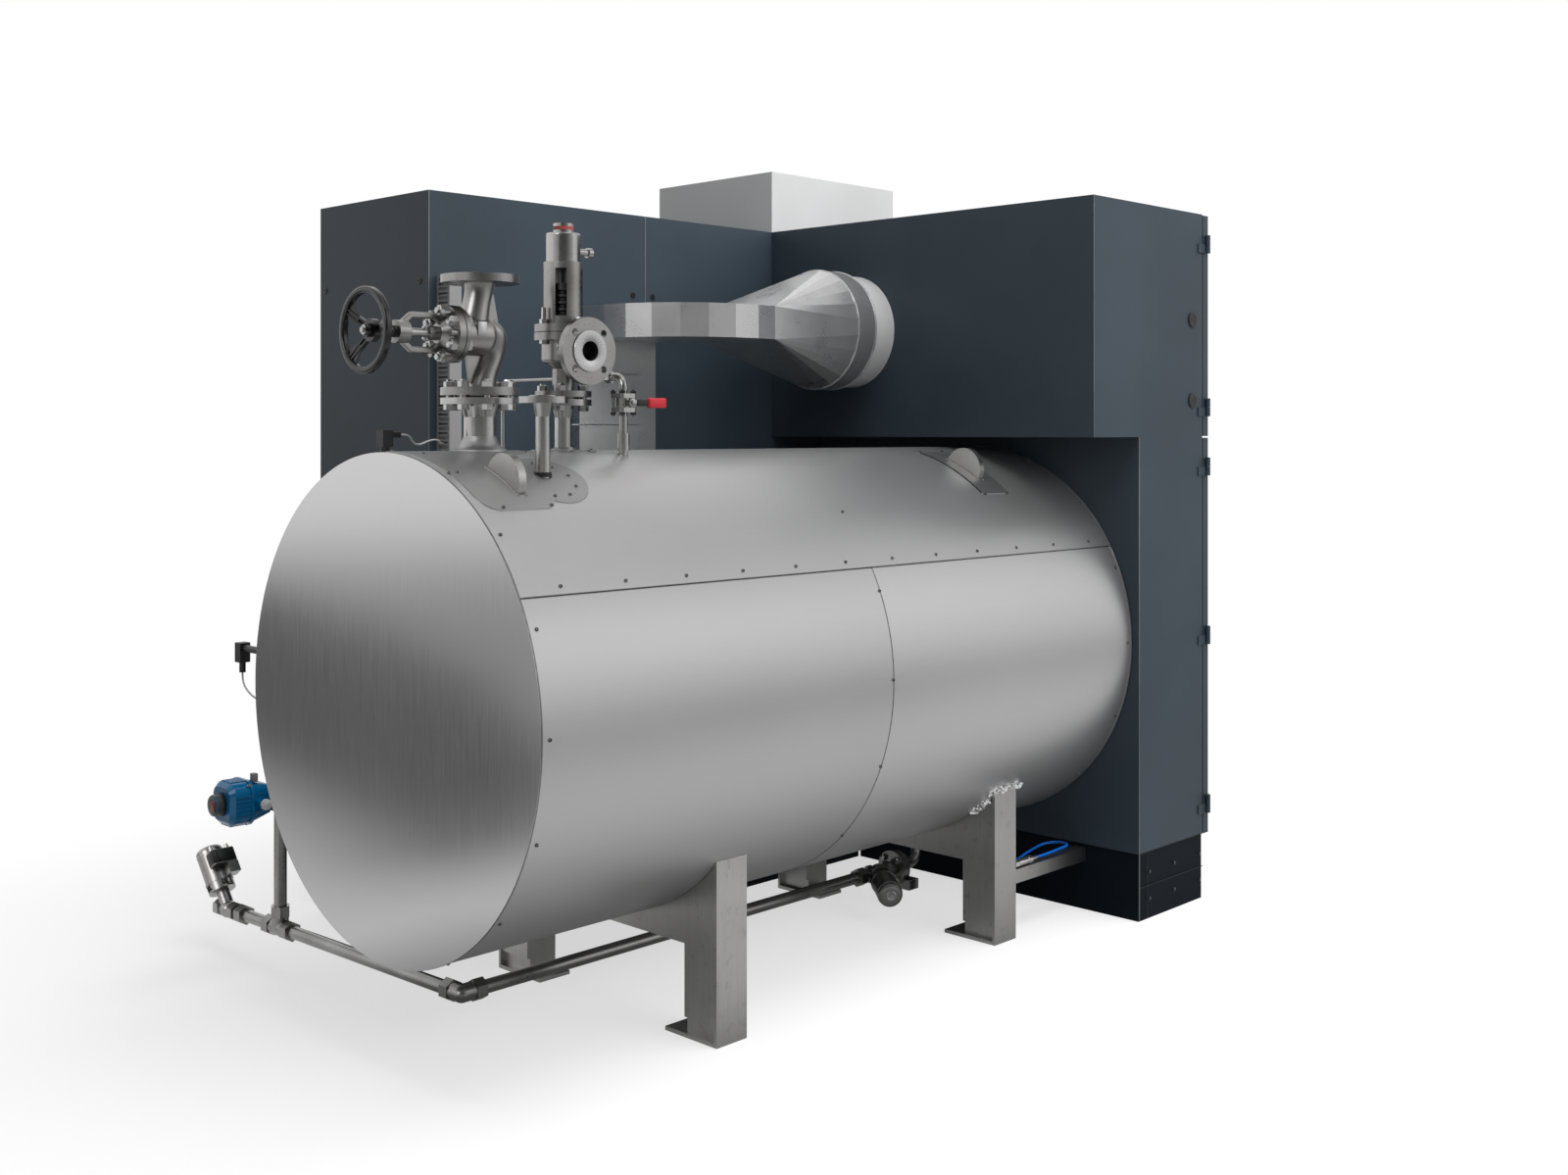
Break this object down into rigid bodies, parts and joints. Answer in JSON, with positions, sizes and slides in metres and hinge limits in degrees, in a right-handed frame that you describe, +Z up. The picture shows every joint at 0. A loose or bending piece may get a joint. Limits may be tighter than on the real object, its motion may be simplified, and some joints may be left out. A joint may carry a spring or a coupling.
{
  "type": "industrial steam boiler",
  "caption": "Horizontal insulated steam boiler on saddle legs with globe valve, safety valve, drain line, flue duct and a row of steel cabinets behind it.",
  "frame": {"origin": "centre of the footprint box, on the floor", "axes": "+X along the drum from its front disc towards the rear housings, +Y from the drum towards the cabinet row, +Z up"},
  "size_m": [2.646, 1.872, 2.332],
  "materials": {
    "brushed_cladding": "satin, grain along the drum",
    "end_disc": "satin",
    "cover_sheet": "satin",
    "vessel_steel": "mill finish",
    "frame_steel": "mill finish with stains",
    "valve_casting": "rough casting",
    "turned_steel": "turned",
    "black_iron": "gloss black",
    "spring_steel": "dark",
    "cabinet_paint": "fine texture, satin",
    "plinth_paint": "satin",
    "roof_box_paint": "satin",
    "duct_zinc": "galvanised",
    "collar_white": "satin",
    "wiring_plastic": "matt",
    "black_plastic": "matt",
    "cable_sheath": "matt",
    "white_cable": "matt",
    "pipe_steel": "drawn",
    "actuator_blue": "gloss",
    "lever_red": "dipped sleeve",
    "hose_blue": "gloss",
    "brass": "nickel plated"
  },
  "bodies": {
    "boiler": {"cladding_top": "brushed_cladding", "cladding_lower_front": "brushed_cladding", "cladding_lower_rear": "brushed_cladding", "front_end_plate": "end_disc", "rear_end_plate": "end_disc", "pressure_vessel": "vessel_steel", "nozzle_cover_plate": "cover_sheet", "safety_cover_plate": "cover_sheet", "rear_cover_plate": "cover_sheet", "lifting_lug_front": "frame_steel", "lifting_lug_rear": "frame_steel", "saddle_front": "frame_steel", "saddle_rear": "frame_steel", "leg_front_near": "frame_steel", "leg_front_far": "frame_steel", "leg_rear_near": "frame_steel", "leg_rear_far": "frame_steel", "tie_beams": "frame_steel", "steam_nozzle": "turned_steel", "feed_nozzle": "turned_steel", "safety_nozzle": "turned_steel", "steam_valve_body": "valve_casting", "steam_valve_bonnet": "valve_casting", "safety_valve_body": "valve_casting", "safety_valve_bonnet": "valve_casting", "safety_valve_spring": "spring_steel", "safety_valve_cap": "turned_steel", "gauge_line": "turned_steel", "ball_valve": "turned_steel", "top_sensor": "black_plastic", "side_sensor": "black_plastic", "top_sensor_cable": "cable_sheath", "side_sensor_cable": "white_cable", "cable_clip": "black_plastic", "left_cabinet": "cabinet_paint", "middle_cabinet": "cabinet_paint", "corner_cabinet": "cabinet_paint", "cabinet_plinth": "plinth_paint", "upper_housing": "cabinet_paint", "lower_housing": "cabinet_paint", "upper_door": "cabinet_paint", "lower_plinth": "plinth_paint", "roof_box": "roof_box_paint", "flue_collar": "collar_white", "flue_transition": "duct_zinc", "flue_elbow": "duct_zinc", "flue_riser": "duct_zinc", "wiring_duct": "wiring_plastic", "drain_pipe": "pipe_steel", "riser_valve": "pipe_steel", "valve_actuator": "actuator_blue", "angle_valve_far": "valve_casting", "angle_valve_near": "valve_casting", "hose_fitting": "brass", "air_hose": "hose_blue"},
    "wheel": {"handwheel": "black_iron", "steam_valve_stem": "turned_steel"},
    "lever": {"ball_valve_lever": "lever_red"},
    "lower_leaf": {"lower_door": "cabinet_paint"}
  },
  "joints": [
    {"name": "wheel_turn", "type": "hinge", "parent": "boiler", "child": "wheel", "pos_m": [-1.312, -0.32, 1.677], "axis": [-1, 0, 0], "continuous": true},
    {"name": "lever_turn", "type": "hinge", "parent": "boiler", "child": "lever", "pos_m": [-0.647, -0.459, 1.521], "axis": [0, -1, 0], "range_deg": [0, 90]},
    {"name": "lower_door_swing", "type": "hinge", "parent": "boiler", "child": "lower_leaf", "pos_m": [1.308, -0.929, 0.817], "axis": [0, 0, -1], "range_deg": [0, 110]}
  ]
}
